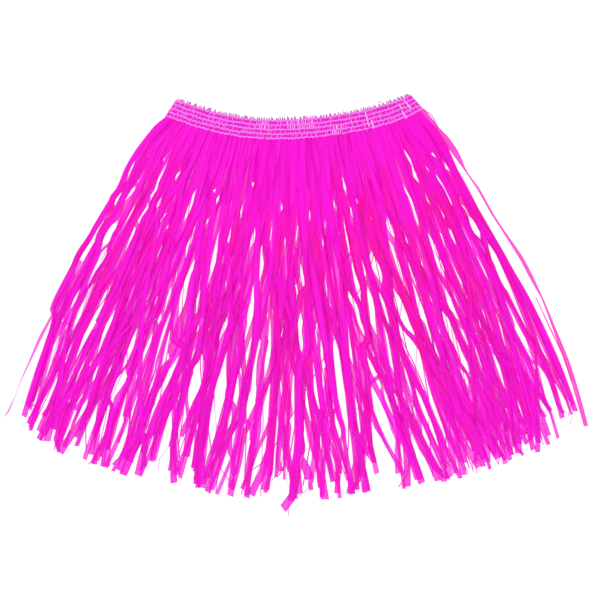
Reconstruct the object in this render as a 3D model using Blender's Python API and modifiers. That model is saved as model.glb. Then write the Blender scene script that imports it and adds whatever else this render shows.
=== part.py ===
"""A raffia hula skirt lying flat, its front on its back.

A ring of gathered raffia, shirred by five rows of elastic thread, is the waistband. A fringe of long
ribbons hangs from its lower edge, in two layers on the front and two on the back. Each layer is a comb:
its ribbons stand apart, and only their roots are fused, into a narrow strip under the waistband.

X runs across the skirt, Y from the hem up to the waistband, and Z up from the surface that the skirt
lies on. Lengths are in millimetres until a mesh is made. A place in the fringe is given by two shares:
across, from -1 at the left edge to 1 at the right one, and along, from 0 at the roots to 1 at the hem.
"""
import math
from collections import namedtuple

import bmesh
import bpy
import numpy as np

MM = 0.001
SEAM_GAP = 0.3

# Waistband
BAND_HEIGHT = 22.4
GATHERS = 54
THREAD_ROWS = 5
ROW_PITCH = 4.7
LOOP_DIP = 2.6
BACK_WALL = 2.2
WALL_AT_THREAD = 1.3
WALL_IN_VALLEY = 1.7
WALL_ON_GATHER = 2.9
END_LEAN = math.radians(12.0)

# Lower edge of the waistband, from its left end to its right end. A polynomial smooths it.
EDGE_DEGREE = 5
EDGE_SAMPLES = 600
BandPoint = namedtuple("BandPoint", "x y")
BAND_EDGE = [
    BandPoint(-134.6, 190.2),
    BandPoint(-112.0, 182.4),
    BandPoint(-84.0, 173.3),
    BandPoint(-50.0, 167.8),
    BandPoint(-6.0, 167.0),
    BandPoint(22.0, 168.4),
    BandPoint(49.0, 172.0),
    BandPoint(75.0, 177.4),
    BandPoint(97.0, 183.3),
    BandPoint(113.0, 189.3),
    BandPoint(129.5, 197.8),
]

# Fan of ribbons below the waistband
FAN_CENTRE_Y = 442.0
FAN_HALF_ANGLE = math.radians(27.8)
ROOT_RADIUS = 277.0
HEM_RADIUS = 650.0
SIDE_BOW = 15.0
STRIP_HEIGHT = 3.0
RIBBONS = 48
RIBBONS_A_PANEL = 3
RIBBON_WALL = 0.8
RIBBON_LEAST = 0.9
RIBBON_APART = 0.5
FILL_AT_ROOT = 0.74
FILL_AT_HEM = 0.62
FULLNESS_SPREAD = 0.25
PLACE_SPREAD = 0.15
SWAY = 1.8
SWAY_TURN = 5.0
WAVES = (1.0, 2.0)
WAVE_SHARE = 0.9
PUSH_REACH = 22.0
SLIT_ROUNDNESS = 0.7

# Shares along the ribbons where each of them has a section
SECTIONS = [0.0, 0.18, 0.36, 0.52, 0.65, 0.76, 0.87, 1.03]

# Layers from the lowest up: the share across where each one ends, and how far its hem drifts sideways
Layer = namedtuple("Layer", "name left right drift colour")
LAYERS = [
    Layer("fringe_back_under", -0.970, 0.962, 5.0, (0.72, 0.010, 0.46)),
    Layer("fringe_back_over", -0.962, 0.970, -6.0, (0.80, 0.012, 0.52)),
    Layer("fringe_front_under", -0.968, 1.000, -4.0, (0.90, 0.014, 0.60)),
    Layer("fringe_front_over", -1.012, 0.966, 6.0, (0.98, 0.016, 0.66)),
]
BAND_COLOUR = (0.86, 0.080, 0.70)

# Room in height for a layer, at shares along the ribbons: the fringe is loftiest at mid length
Loft = namedtuple("Loft", "along room")
LOFTS = [Loft(0.0, 1.1), Loft(0.18, 1.8), Loft(0.5, 2.4), Loft(0.8, 2.0), Loft(1.03, 1.3)]

# Slits where the ribbons part. An open one runs out through the hem.
Slit = namedtuple("Slit", "across start end width open")
SLITS = [
    Slit(-0.988, 0.46, 0.90, 12.0, True),
    Slit(-0.940, 0.22, 0.44, 7.0, False),
    Slit(-0.720, 0.80, 0.96, 6.0, False),
    Slit(-0.665, 0.68, 0.84, 9.0, False),
    Slit(-0.512, 0.33, 0.47, 4.5, False),
    Slit(-0.457, 0.75, 0.92, 13.0, True),
    Slit(-0.416, 0.27, 0.41, 4.5, False),
    Slit(-0.389, 0.58, 0.80, 12.0, False),
    Slit(-0.313, 0.47, 0.60, 5.0, False),
    Slit(-0.300, 0.62, 0.93, 11.0, False),
    Slit(-0.170, 0.55, 0.80, 7.5, False),
    Slit(-0.115, 0.66, 0.82, 6.5, False),
    Slit(0.028, 0.30, 0.43, 5.0, False),
    Slit(0.036, 0.76, 0.92, 6.0, False),
    Slit(0.174, 0.52, 0.79, 8.0, False),
    Slit(0.264, 0.40, 0.53, 6.0, False),
    Slit(0.305, 0.66, 1.00, 13.0, False),
    Slit(0.396, 0.31, 0.44, 8.0, False),
    Slit(0.423, 0.80, 0.97, 7.0, True),
    Slit(0.468, 0.44, 0.72, 10.5, False),
    Slit(0.486, 0.70, 0.95, 5.0, False),
    Slit(0.547, 0.43, 0.58, 6.0, False),
    Slit(0.640, 0.52, 0.74, 6.5, False),
    Slit(0.679, 0.32, 0.47, 5.0, False),
    Slit(0.773, 0.88, 0.97, 8.0, True),
    Slit(0.903, 0.75, 0.94, 8.0, False),
    Slit(0.978, 0.07, 0.20, 6.0, False),
    Slit(0.984, 0.50, 0.90, 7.0, False),
]

# Notches in the hem, where the ribbons are cut shorter
Notch = namedtuple("Notch", "across spread depth")
NOTCHES = [
    Notch(-0.95, 0.05, 22.0),
    Notch(-0.47, 0.05, 44.0),
    Notch(-0.04, 0.04, 30.0),
    Notch(0.26, 0.04, 18.0),
    Notch(0.36, 0.04, 32.0),
    Notch(0.77, 0.04, 20.0),
    Notch(0.92, 0.04, 14.0),
]
HEM_RAGGED = 0.035
HEM_SHORT_SHARE = 0.25
HEM_SHORT_BY = 0.09
END_SKEW = 0.008

Strand = namedtuple("Strand", "left right along roots")


def clear_scene():
    for thing in list(bpy.data.objects):
        bpy.data.objects.remove(thing, do_unlink=True)


def new_collection(name):
    collection = bpy.data.collections.new(name)
    bpy.context.scene.collection.children.link(collection)
    return collection


def band_edge_samples():
    """The lower edge of the waistband as a smooth curve: its x, its polynomial and its share of length."""
    curve = np.polyfit([p.x for p in BAND_EDGE], [p.y for p in BAND_EDGE], EDGE_DEGREE)
    x = np.linspace(BAND_EDGE[0].x, BAND_EDGE[-1].x, EDGE_SAMPLES)
    steps = np.hypot(np.diff(x), np.diff(np.polyval(curve, x)))
    length = np.concatenate([[0.0], np.cumsum(steps)])
    return x, curve, length / length[-1]


EDGE_X, EDGE_CURVE, EDGE_SHARE = band_edge_samples()


def band_point(share, height):
    """Points on the waistband, by the share of its length and the height over its lower edge."""
    share = np.asarray(share, float)
    x = np.interp(share, EDGE_SHARE, EDGE_X)
    slope = np.polyval(np.polyder(EDGE_CURVE), x)
    lean = -np.arctan(slope) - END_LEAN * (2 * share - 1) ** 3
    y = np.polyval(EDGE_CURVE, x)
    return np.stack([x + height * np.sin(lean), y + height * np.cos(lean)], axis=-1)


def fan_point(across, along):
    """Points in the fringe, from the shares across and along."""
    across = np.asarray(across, float)
    along = np.asarray(along, float)
    root = band_point((np.clip(across, -1, 1) + 1) / 2, -SEAM_GAP - STRIP_HEIGHT)
    angle = across * FAN_HALF_ANGLE
    hem = np.stack([np.sin(angle), -np.cos(angle)], axis=-1) * HEM_RADIUS
    hem[..., 1] += FAN_CENTRE_Y
    point = root + (hem - root) * along[..., None]
    bow = SIDE_BOW * across * np.abs(across) * 4 * along * (1 - along)
    point[..., 0] += bow * np.cos(angle)
    point[..., 1] += bow * np.sin(angle)
    return point


def half_breadth(along):
    """Half the breadth of the fan, measured along its arc."""
    return (ROOT_RADIUS + (HEM_RADIUS - ROOT_RADIUS) * along) * FAN_HALF_ANGLE


def slit_opening(slit, along):
    """Half the width of a slit, at shares along the ribbons."""
    progress = np.clip((along - slit.start) / (slit.end - slit.start), 0, 1)
    quarter_turns = 1 if slit.open else 2
    swell = np.sin(progress * quarter_turns * math.pi / 2).clip(0)
    return slit.width / 2 * swell ** SLIT_ROUNDNESS


def part_at_slits(edges, middles, along):
    """Push ribbon edges, in millimetres across, away from each slit and keep them on their own side."""
    moved = edges.copy()
    for slit in SLITS:
        opening = slit_opening(slit, along)
        centre = slit.across * half_breadth(along)
        side = np.where(middles < slit.across, -1.0, 1.0)
        away = side * (edges - centre)
        kept = np.maximum(away, 0)
        moved += side * ((kept - away) * np.minimum(opening, 1) + opening * np.exp(-kept / PUSH_REACH))
    return moved


def keep_apart(edges):
    """Move a row of left and right edges as little as it takes to keep each ribbon and gap open."""
    least = np.tile([RIBBON_APART, RIBBON_LEAST], len(edges) // 2)
    least[0] = 0
    floor = np.cumsum(least)
    forward = np.maximum.accumulate(edges - floor)
    backward = np.minimum.accumulate((edges - floor)[::-1])[::-1]
    return (forward + backward) / 2 + floor


def hem_reach(across, random):
    """The share along at which a ribbon is cut off."""
    reach = 1.0 - abs(random.normal(0, HEM_RAGGED)) + HEM_RAGGED / 2
    if random.random() < HEM_SHORT_SHARE:
        reach -= random.uniform(0.2, 1.0) * HEM_SHORT_BY
    for notch in NOTCHES:
        nearness = math.exp(-((across - notch.across) / notch.spread) ** 2)
        reach -= nearness * notch.depth / (HEM_RADIUS - ROOT_RADIUS)
    return min(reach, SECTIONS[-1] - END_SKEW)


def layer_edges(layer, random):
    """Edges of a layer's ribbons at each section, as shares across: an array of sections by edges."""
    pitch = (layer.right - layer.left) / RIBBONS
    middles = layer.left + pitch * (np.arange(RIBBONS) + 0.5)
    middles[1:-1] += random.uniform(-PLACE_SPREAD, PLACE_SPREAD, RIBBONS - 2) * pitch
    fullness = 1 + random.uniform(-FULLNESS_SPREAD, FULLNESS_SPREAD, RIBBONS)
    phases = random.uniform(0, 2 * math.pi, RIBBONS)
    rows = []
    for along in SECTIONS:
        breadth = half_breadth(along)
        fill = FILL_AT_ROOT + (FILL_AT_HEM - FILL_AT_ROOT) * along
        half_width = pitch * breadth * fill * fullness / 2
        sway = SWAY * along * np.sin(phases + along * SWAY_TURN)
        drift = layer.drift * along * (1 - middles ** 2)
        line = middles * breadth + sway + drift
        edges = np.stack([line - half_width, line + half_width], axis=1).ravel()
        edges = part_at_slits(edges, np.repeat(middles, 2), along)
        rows.append(keep_apart(edges) / breadth)
    return np.array(rows)


def layer_strands(layer, random):
    """The strands of a layer: the plan points of both edges, and the share along of each section."""
    edges = layer_edges(layer, random)
    along = np.array(SECTIONS)
    plan = np.stack([fan_point(row, np.full(row.shape, v)) for row, v in zip(edges, along)])
    strands = []
    for i in range(RIBBONS):
        left, right = plan[:, 2 * i], plan[:, 2 * i + 1]
        reach = hem_reach(edges[-2, 2 * i], random)
        skew = random.uniform(-END_SKEW, END_SKEW)
        whole = along < reach - 2 * END_SKEW
        ends = []
        for side, cut in ((left, reach + skew), (right, reach - skew)):
            tip = [np.interp(cut, along, side[:, axis]) for axis in (0, 1)]
            ends.append(np.vstack([side[whole], tip]))
        roots = edges[0, 2 * i:2 * i + 2]
        strands.append(Strand(ends[0], ends[1], np.append(along[whole], reach), roots))
    return strands


def layer_height(level, along, wave):
    """Height of a ribbon's middle surface over the floor. The wave runs from -1 to 1."""
    room = np.interp(along, [loft.along for loft in LOFTS], [loft.room for loft in LOFTS])
    play = (room - SEAM_GAP - RIBBON_WALL) / 2
    return SEAM_GAP + level * room + RIBBON_WALL / 2 + play * (1 + WAVE_SHARE * wave)


def comb_surface(strands, level, random):
    """An open surface: a strip along the waistband's edge, with a ribbon below each stretch of it."""
    bm = bmesh.new()
    root_height = layer_height(level, 0.0, 0.0)

    def vertex(point, height):
        return bm.verts.new((point[0] * MM, point[1] * MM, height * MM))

    roots = []
    for strand in strands:
        phase = random.uniform(0, 2 * math.pi)
        turns = random.uniform(*WAVES)
        wave = np.sin(phase + strand.along * turns * 2 * math.pi)
        heights = layer_height(level, strand.along, wave)
        left = [vertex(p, z) for p, z in zip(strand.left, heights)]
        right = [vertex(p, z) for p, z in zip(strand.right, heights)]
        for a in range(len(heights) - 1):
            bm.faces.new((left[a], left[a + 1], right[a + 1], right[a]))
        roots += [left[0], right[0]]

    shares = (np.clip(np.concatenate([strand.roots for strand in strands]), -1, 1) + 1) / 2
    stops = list(range(0, len(roots), 2 * RIBBONS_A_PANEL)) + [len(roots) - 1]
    back = [vertex(band_point(shares[stop], -SEAM_GAP), root_height) for stop in stops]
    for start, stop, first, last in zip(stops, stops[1:], back, back[1:]):
        bm.faces.new([first] + roots[start:stop + 1] + [last])
    return bm


def new_material(name, colour, roughness):
    material = bpy.data.materials.new(name)
    material.use_nodes = True
    shader = material.node_tree.nodes["Principled BSDF"]
    shader.inputs["Base Color"].default_value = (*colour, 1.0)
    shader.inputs["Roughness"].default_value = roughness
    shader.inputs["Metallic"].default_value = 0.0
    return material


def new_object(name, bm, collection, colour, roughness):
    mesh = bpy.data.meshes.new(name)
    bm.normal_update()
    bm.to_mesh(mesh)
    bm.free()
    piece = bpy.data.objects.new(name, mesh)
    piece.data.materials.append(new_material(name + "_raffia", colour, roughness))
    collection.objects.link(piece)
    return piece


def make_fringe(level, layer, collection):
    random = np.random.default_rng(level + 1)
    strands = layer_strands(layer, random)
    bm = comb_surface(strands, level, random)
    piece = new_object(layer.name, bm, collection, layer.colour, 0.35)
    solidify = piece.modifiers.new("ribbon_wall", "SOLIDIFY")
    solidify.thickness = RIBBON_WALL * MM
    solidify.offset = 0.0
    return piece


def loft(sections):
    """A closed solid through sections of equal count, each a ring of points, with flat ends."""
    bm = bmesh.new()
    rings = [[bm.verts.new([c * MM for c in point]) for point in ring] for ring in sections]
    for ring, following in zip(rings, rings[1:]):
        for a in range(len(ring)):
            bm.faces.new((ring[a - 1], ring[a], following[a], following[a - 1]))
    bm.faces.new(rings[0][::-1])
    bm.faces.new(rings[-1])
    bmesh.ops.recalc_face_normals(bm, faces=bm.faces)
    return bm


def gather_columns():
    """Shares along the waistband of each valley and each gather, with 1 on a gather and 0 in a valley."""
    count = 2 * GATHERS + 1
    return [(column / (count - 1), column % 2) for column in range(count)]


def front_section(share, on_gather):
    """Outer points pinched at each row of thread, puffed between rows and looped over the top row."""
    inside = BACK_WALL + SEAM_GAP
    puff = WALL_ON_GATHER if on_gather else WALL_IN_VALLEY
    profile = []
    for row in range(THREAD_ROWS):
        profile.append((row * ROW_PITCH, inside + WALL_AT_THREAD))
        if row < THREAD_ROWS - 1:
            profile.append(((row + 0.5) * ROW_PITCH, inside + puff))
    top = BAND_HEIGHT - (0 if on_gather else LOOP_DIP)
    profile += [(top, inside + WALL_AT_THREAD), (top, inside), (0.0, inside)]
    return [(*band_point(share, height), z) for height, z in profile]


def back_section(share, on_gather):
    """A plain wall that is flat underneath. Its loops stand between those of the front."""
    top = BAND_HEIGHT - (LOOP_DIP if on_gather else 0)
    profile = [(0.0, 0.0), (top, 0.0), (top, BACK_WALL), (0.0, BACK_WALL)]
    return [(*band_point(share, height), z) for height, z in profile]


def make_waistband(name, section, collection):
    sections = [section(share, on_gather) for share, on_gather in gather_columns()]
    return new_object(name, loft(sections), collection, BAND_COLOUR, 0.5)


def centre_on_origin(pieces):
    """Move the whole skirt in plan, so that the middle of its box is at the origin."""
    points = [vertex.co for piece in pieces for vertex in piece.data.vertices]
    for axis in (0, 1):
        values = [point[axis] for point in points]
        middle = (min(values) + max(values)) / 2
        for point in points:
            point[axis] -= middle


def main():
    clear_scene()
    skirt = new_collection("grass_skirt")
    pieces = [
        make_waistband("waistband_back", back_section, skirt),
        make_waistband("waistband_front", front_section, skirt),
    ]
    for level, layer in enumerate(LAYERS):
        pieces.append(make_fringe(level, layer, skirt))
    centre_on_origin(pieces)


main()
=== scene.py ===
import math
from collections import namedtuple

import bpy
import numpy as np
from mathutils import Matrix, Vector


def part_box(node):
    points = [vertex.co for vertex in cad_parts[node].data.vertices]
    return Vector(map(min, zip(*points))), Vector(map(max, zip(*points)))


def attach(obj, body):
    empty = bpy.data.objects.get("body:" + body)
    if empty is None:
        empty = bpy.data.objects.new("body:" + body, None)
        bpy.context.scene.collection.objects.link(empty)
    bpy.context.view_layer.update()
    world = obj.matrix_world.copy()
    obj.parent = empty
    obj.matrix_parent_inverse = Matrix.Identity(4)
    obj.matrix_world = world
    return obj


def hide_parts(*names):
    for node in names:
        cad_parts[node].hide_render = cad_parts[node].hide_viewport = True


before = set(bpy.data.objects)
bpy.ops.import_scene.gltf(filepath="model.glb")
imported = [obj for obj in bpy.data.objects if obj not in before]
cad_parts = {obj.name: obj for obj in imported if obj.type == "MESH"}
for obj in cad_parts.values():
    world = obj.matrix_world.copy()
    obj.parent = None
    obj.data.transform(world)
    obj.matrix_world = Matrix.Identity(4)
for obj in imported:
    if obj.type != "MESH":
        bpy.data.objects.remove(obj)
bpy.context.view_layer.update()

MM = 0.001
BODY = "root"
FULL_TURN = 2 * math.pi

# Waistband: a back wall and a front wall of gathered film. Levels are heights over the surface below.
BAND_HEIGHT = 22.4
GATHERS = 54
THREAD_ROWS = 5
LOWEST_ROW = 1.5
ROW_PITCH = 4.5
SEAM_GAP = 0.3
BACK_CLEAR = 0.15
BACK_WALL = 2.2
WALL_AT_THREAD = 1.3
WALL_ON_GATHER = 2.9
FRONT_LEVEL = BACK_WALL + SEAM_GAP
MID_LEVEL = BACK_WALL + SEAM_GAP / 2
END_LEAN = math.radians(12.0)

# Lower edge of the waistband, from its left end to its right end. A polynomial smooths it.
EDGE_DEGREE = 5
EDGE_SAMPLES = 600
Point = namedtuple("Point", "x y")
BAND_EDGE = [
    Point(-134.6, 190.2),
    Point(-112.0, 182.4),
    Point(-84.0, 173.3),
    Point(-50.0, 167.8),
    Point(-6.0, 167.0),
    Point(22.0, 168.4),
    Point(49.0, 172.0),
    Point(75.0, 177.4),
    Point(97.0, 183.3),
    Point(113.0, 189.3),
    Point(129.5, 197.8),
]

# Cloth of the waistband: a fine grid of pleats, pinched by the rows of thread and folded at both sides
PLEATS = GATHERS * 2
STEPS_A_PLEAT = 5
CLOTH_ROWS = 30
CLOTH_BOTTOM, CLOTH_TOP = 0.7, 20.6
SIDE_FOLD_STEPS = 6
SIDE_FOLD_RADIUS = 1.3
SIDE_FOLD_INSET = 0.006
RIDGE_ROUNDNESS = 0.8
PUFF_ROUNDNESS = 0.8
VALLEY = 0.25
# How light the pleats are painted where the thread pinches them: painted shade by the rows of thread
SHADED_TONE_AT_THREAD = 0.35

# Waves that keep the pleats from being even: their size, and radians from end to end and a millimetre up
Wave = namedtuple("Wave", "size across up")
PLEAT_WANDER = [Wave(0.35, 61.0, 0.5), Wave(0.25, 143.0, -0.9)]
PLEAT_SWELL = Wave(0.25, 97.0, 0.7)

# Elastic thread: five rows that swell and wobble from pleat to pleat
BAND_SEED = 5
THREAD_RADIUS = 0.90
THREAD_SWELLS = 0.22
THREAD_SINKS = 0.7
THREAD_FATTEST = 1.25
THREAD_CLEAR = 0.1
POINTS_A_GATHER = 12
ROW_WOBBLE = 0.26
ROW_WOBBLE_SHIFT = 1.9
ROW_BOB = 0.2
ROW_WANDER, ROW_WANDER_WAVES = 0.3, 9.0

# Finer links of thread in the valleys from row to row, bolder in some places
LINK_RADIUS = 0.15
BOLD_LINK_RADIUS = 0.36
LINK_RADIUS_VARIES = (0.7, 1.3)
LINKS_KEPT = 0.40
LINK_STEPS = 6
LINK_SHIFT = 0.3
LINK_LEAN = 0.0012
LINK_INSET = 0.3
LINK_RISE = 0.12
BoldLinks = namedtuple("BoldLinks", "start end low_row high_row")
BOLD_LINKS = [BoldLinks(0.47, 0.58, 2, 3), BoldLinks(0.64, 0.68, 0, 1), BoldLinks(0.36, 0.40, 2, 3)]

# Stitches across the band where the ring is closed
STITCH_RADIUS = 0.58
STITCH_STEPS = 24
STITCH_RISE = 0.6
STITCH_SWAY, STITCH_SWAY_TURNS = 0.0012, 2.2
STITCH_SWELLS, STITCH_SWELL_TURNS = 0.3, 2.8
Join = namedtuple("Join", "share low high")
JOINS = [
    Join(0.782, 3.0, 18.5),
    Join(0.797, 0.5, 9.0),
    Join(0.925, 0.0, 8.5),
    Join(0.928, 11.0, 16.5),
    Join(0.958, 7.0, 18.5),
]

# Folded ends of the ribbons, one to a gather, as loops that stand over the top row
LOOP_STEPS = 10
LOOP_SHIFT = 0.2
LOOP_INSET = 0.004
LOOP_HEIGHT = (2.8, 4.4)
LOOP_HALF_WIDTH = (0.3, 0.6)
LOOP_LEAN = 0.7
LOOP_ROUNDNESS = 0.75
LOOP_RADIUS = (0.28, 0.42)
LOOP_TURN = 0.5
BACK_LOOP_LEVEL = 0.9
LOWEST_LOOP_LEVEL = 0.45

# Pulled thread that stands clear of the top row as one loop, with knots in it
STRAY_SHARE, STRAY_REACH = 0.855, 0.045
STRAY_HEIGHT = 5.5
STRAY_LEVEL = BACK_WALL + 1.2
STRAY_STEPS = 60
STRAY_ROUNDNESS = 0.6
STRAY_RADIUS, KNOT_RADIUS = 0.07, 0.5
KNOT_TURNS, KNOT_SHARPNESS = 4, 6

# Fan of ribbons below the waistband
FAN_CENTRE_Y = 442.0
FAN_HALF_ANGLE = math.radians(27.8)
ROOT_RADIUS = 277.0
HEM_RADIUS = 650.0
FAN_LENGTH = HEM_RADIUS - ROOT_RADIUS
ROOT_DROP = 3.3
SIDE_BOW = 15.0

# Layers from the lowest up: where each ends across, how far its hem drifts sideways, and its ribbons
Layer = namedtuple("Layer", "name left right drift ribbons seed")
LAYERS = [
    Layer("fringe_back_under", -0.985, 0.985, 5.0, 78, 11),
    Layer("fringe_back_over", -0.990, 0.990, -6.0, 78, 12),
    Layer("fringe_front_under", -0.995, 0.995, -4.0, 82, 13),
    Layer("fringe_front_over", -1.000, 1.000, 6.0, 82, 14),
]

# Room in height for a layer, at shares along the ribbons: the fringe is loftiest at mid length
Loft = namedtuple("Loft", "along room")
LOFTS = [Loft(0.0, 1.1), Loft(0.18, 1.8), Loft(0.5, 2.4), Loft(0.8, 2.0), Loft(1.03, 1.3)]

# Outer edges of the fan, as shares across. On the left it flares out below the waistband and draws in
# towards the hem, and on the right it ends inside a loose outer ribbon.
EDGE_LEFT, EDGE_RIGHT = 0.99, 0.965
EDGE_BEGINS = 0.96
EDGE_GRIP = 8
EDGE_SWAY = 0.006
FLARE_LEFT, FLARE_RIGHT = 0.07, 0.03
FLARE_STARTS, FLARE_FULL, FLARE_ENDS = -0.02, 0.07, 0.25
DRAWN_IN_LEFT = 0.040
DRAWN_IN_FROM, DRAWN_IN_BY = 0.58, 0.9

# Slits where the ribbons part: where each lies across at its top and at its bottom, from where to where
# along, and how wide it is in the middle. One that ends at the hem stays open to it.
Slit = namedtuple("Slit", "top bottom start end width")
SLITS = [
    # Left side
    Slit(-0.96, -0.96, 0.21, 0.29, 4),
    Slit(-0.97, -0.96, 0.62, 1.00, 9),
    Slit(-0.96, -0.97, 0.35, 0.50, 5),
    Slit(-0.93, -0.92, 0.52, 0.64, 3),
    Slit(-0.91, -0.93, 0.31, 0.41, 6),
    Slit(-0.90, -0.90, 0.39, 0.48, 5),
    Slit(-0.90, -0.89, 0.84, 1.00, 5),
    Slit(-0.82, -0.82, 0.46, 0.59, 3),
    Slit(-0.77, -0.77, 0.52, 0.69, 3),
    Slit(-0.71, -0.73, 0.80, 0.93, 6),
    Slit(-0.65, -0.68, 0.69, 0.80, 9),
    # Left of the middle
    Slit(-0.54, -0.55, 0.86, 1.00, 8),
    Slit(-0.50, -0.52, 0.32, 0.45, 4),
    Slit(-0.46, -0.53, 0.59, 0.77, 6),
    Slit(-0.46, -0.46, 0.75, 1.00, 14),
    Slit(-0.41, -0.42, 0.28, 0.39, 4),
    Slit(-0.38, -0.40, 0.60, 0.76, 12),
    Slit(-0.36, -0.37, 0.80, 1.00, 7),
    Slit(-0.30, -0.33, 0.48, 0.57, 5),
    Slit(-0.29, -0.31, 0.61, 0.90, 11),
    Slit(-0.24, -0.25, 0.72, 0.81, 4),
    Slit(-0.22, -0.24, 0.22, 0.30, 5),
    Slit(-0.22, -0.25, 0.87, 1.00, 6),
    Slit(-0.20, -0.22, 0.40, 0.51, 4),
    Slit(-0.17, -0.18, 0.30, 0.42, 4),
    Slit(-0.17, -0.19, 0.77, 0.94, 5),
    Slit(-0.16, -0.19, 0.66, 0.77, 8),
    Slit(-0.15, -0.17, 0.53, 0.68, 7),
    Slit(-0.11, -0.13, 0.52, 0.65, 5),
    Slit(-0.11, -0.15, 0.80, 0.93, 8),
    Slit(-0.11, -0.14, 0.90, 1.00, 6),
    Slit(-0.10, -0.13, 0.65, 0.79, 7),
    Slit(-0.02, -0.06, 0.89, 1.00, 8),
    Slit(-0.01, -0.02, 0.76, 0.88, 4),
    # Right of the middle
    Slit(0.01, 0.03, 0.46, 0.59, 5),
    Slit(0.02, 0.04, 0.30, 0.41, 5),
    Slit(0.02, 0.05, 0.76, 0.89, 6),
    Slit(0.01, 0.04, 0.86, 1.00, 8),
    Slit(0.14, 0.16, 0.73, 0.82, 5),
    Slit(0.15, 0.16, 0.87, 1.00, 5),
    Slit(0.16, 0.18, 0.51, 0.77, 8),
    Slit(0.23, 0.27, 0.86, 1.00, 5),
    Slit(0.24, 0.29, 0.41, 0.50, 6),
    Slit(0.26, 0.30, 0.45, 0.56, 4),
    Slit(0.27, 0.32, 0.75, 1.00, 14),
    Slit(0.28, 0.30, 0.33, 0.44, 5),
    Slit(0.28, 0.32, 0.57, 0.68, 5),
    Slit(0.29, 0.33, 0.67, 0.84, 11),
    Slit(0.38, 0.41, 0.31, 0.42, 8),
    Slit(0.40, 0.44, 0.79, 1.00, 8),
    Slit(0.44, 0.50, 0.53, 0.70, 12),
    Slit(0.45, 0.48, 0.43, 0.57, 8),
    Slit(0.45, 0.50, 0.68, 0.92, 4),
    Slit(0.48, 0.53, 0.66, 0.92, 5),
    Slit(0.50, 0.52, 0.23, 0.31, 5),
    Slit(0.54, 0.55, 0.43, 0.55, 6),
    # Right side
    Slit(0.63, 0.64, 0.51, 0.64, 6),
    Slit(0.64, 0.66, 0.62, 0.71, 6),
    Slit(0.66, 0.67, 0.42, 0.56, 4),
    Slit(0.68, 0.68, 0.32, 0.45, 5),
    Slit(0.76, 0.78, 0.92, 1.00, 8),
    Slit(0.89, 0.89, 0.30, 0.38, 6),
    Slit(0.90, 0.90, 0.75, 0.90, 8),
    Slit(0.91, 0.90, 0.38, 0.55, 6),
    Slit(0.97, 0.98, 0.11, 0.86, 9),
]

# A slit is pointed at its ends and widest off its middle, by a share that differs from slit to slit.
# Ribbons bend clear of it by a share of their half width, in full once its own half width is enough.
SLIT_ROUNDNESS = 0.9
SLIT_SKEW = 0.22
SLIT_SKEW_VARIES = 50.0
CLEAR_OF_SLIT = 0.7
SLIT_OPENS_OVER = 2.0

# Smaller slits scattered between those: how many in a region, their lengths along and their widths, and
# whether ribbons bend clear of them. None has its middle in a solid region.
SLIT_SEED = 31
Scatter = namedtuple("Scatter", "left right start end count length width parts_ribbons")
SCATTERED = [
    Scatter(-0.92, 0.92, 0.09, 0.22, 18, (0.030, 0.070), (2.6, 4.2), True),
    Scatter(-0.94, 0.94, 0.20, 0.36, 30, (0.030, 0.080), (2.0, 3.4), True),
    Scatter(-0.94, 0.94, 0.34, 0.50, 20, (0.050, 0.110), (3.0, 5.0), False),
    Scatter(-0.94, 0.94, 0.20, 0.30, 8, (0.06, 0.12), (2.5, 3.8), True),
    Scatter(-0.94, 0.94, 0.34, 0.95, 88, (0.06, 0.14), (3.0, 5.5), False),
    Scatter(-0.94, 0.94, 0.70, 0.92, 26, (0.05, 0.12), (3.0, 5.0), False),
    Scatter(-0.60, -0.15, 0.70, 0.92, 10, (0.06, 0.12), (3.5, 5.5), False),
]
Region = namedtuple("Region", "left right start end")
SOLID_REGIONS = [
    Region(-0.80, -0.60, 0.30, 0.60),
    Region(-0.40, 0.00, 0.30, 0.60),
    Region(0.55, 0.85, 0.72, 1.00),
]
SLITS_APART, SLITS_APART_ALONG = 4.5, 0.02
SCATTERED_LEAN, SCATTERED_END = 0.01, 0.97
TRIES_A_SLIT = 50

# Loose ribbons outside the fan, as places along and across and the breadth that shows there
Place = namedtuple("Place", "along across width")
OUTER_RIGHT = [
    Place(-0.01, 0.982, 4.5),
    Place(0.02, 0.984, 5.0),
    Place(0.06, 0.984, 6.0),
    Place(0.09, 0.996, 6.5),
    Place(0.11, 0.996, 7.0),
    Place(0.14, 0.996, 6.5),
    Place(0.17, 0.991, 4.0),
    Place(0.19, 0.988, 1.8),
    Place(0.22, 0.989, 1.7),
    Place(0.25, 0.993, 2.6),
    Place(0.33, 0.988, 2.4),
    Place(0.38, 0.992, 2.2),
    Place(0.43, 0.998, 3.2),
    Place(0.48, 1.006, 4.0),
    Place(0.54, 1.006, 4.0),
    Place(0.60, 1.007, 1.8),
    Place(0.68, 0.999, 3.0),
    Place(0.79, 0.994, 5.2),
    Place(0.97, 0.982, 4.5),
]
INNER_TOP_RIGHT = [
    Place(0.07, 0.976, 1.4),
    Place(0.11, 0.974, 1.4),
    Place(0.16, 0.959, 1.3),
    Place(0.20, 0.946, 1.6),
]
INNER_RIGHT = [
    Place(0.59, 0.985, 0.9),
    Place(0.68, 0.986, 1.4),
    Place(0.76, 0.990, 1.3),
    Place(0.84, 0.985, 1.4),
]
STRAY_LEFT = [
    Place(0.46, -0.970, 5.0),
    Place(0.60, -0.973, 4.2),
    Place(0.64, -0.977, 2.6),
    Place(0.70, -0.983, 3.4),
    Place(0.77, -0.985, 2.0),
    Place(0.85, -0.990, 0.8),
    Place(0.88, -0.990, 0.5),
    Place(0.93, -0.995, 1.9),
    Place(0.95, -1.003, 0.8),
]
CORNER_RIGHT = [
    Place(-0.005, 0.995, 0.8),
    Place(0.005, 1.300, 0.9),
    Place(0.015, 1.260, 1.0),
    Place(0.026, 1.130, 1.1),
    Place(0.040, 1.010, 1.4),
    Place(0.060, 0.985, 1.4),
]
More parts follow.
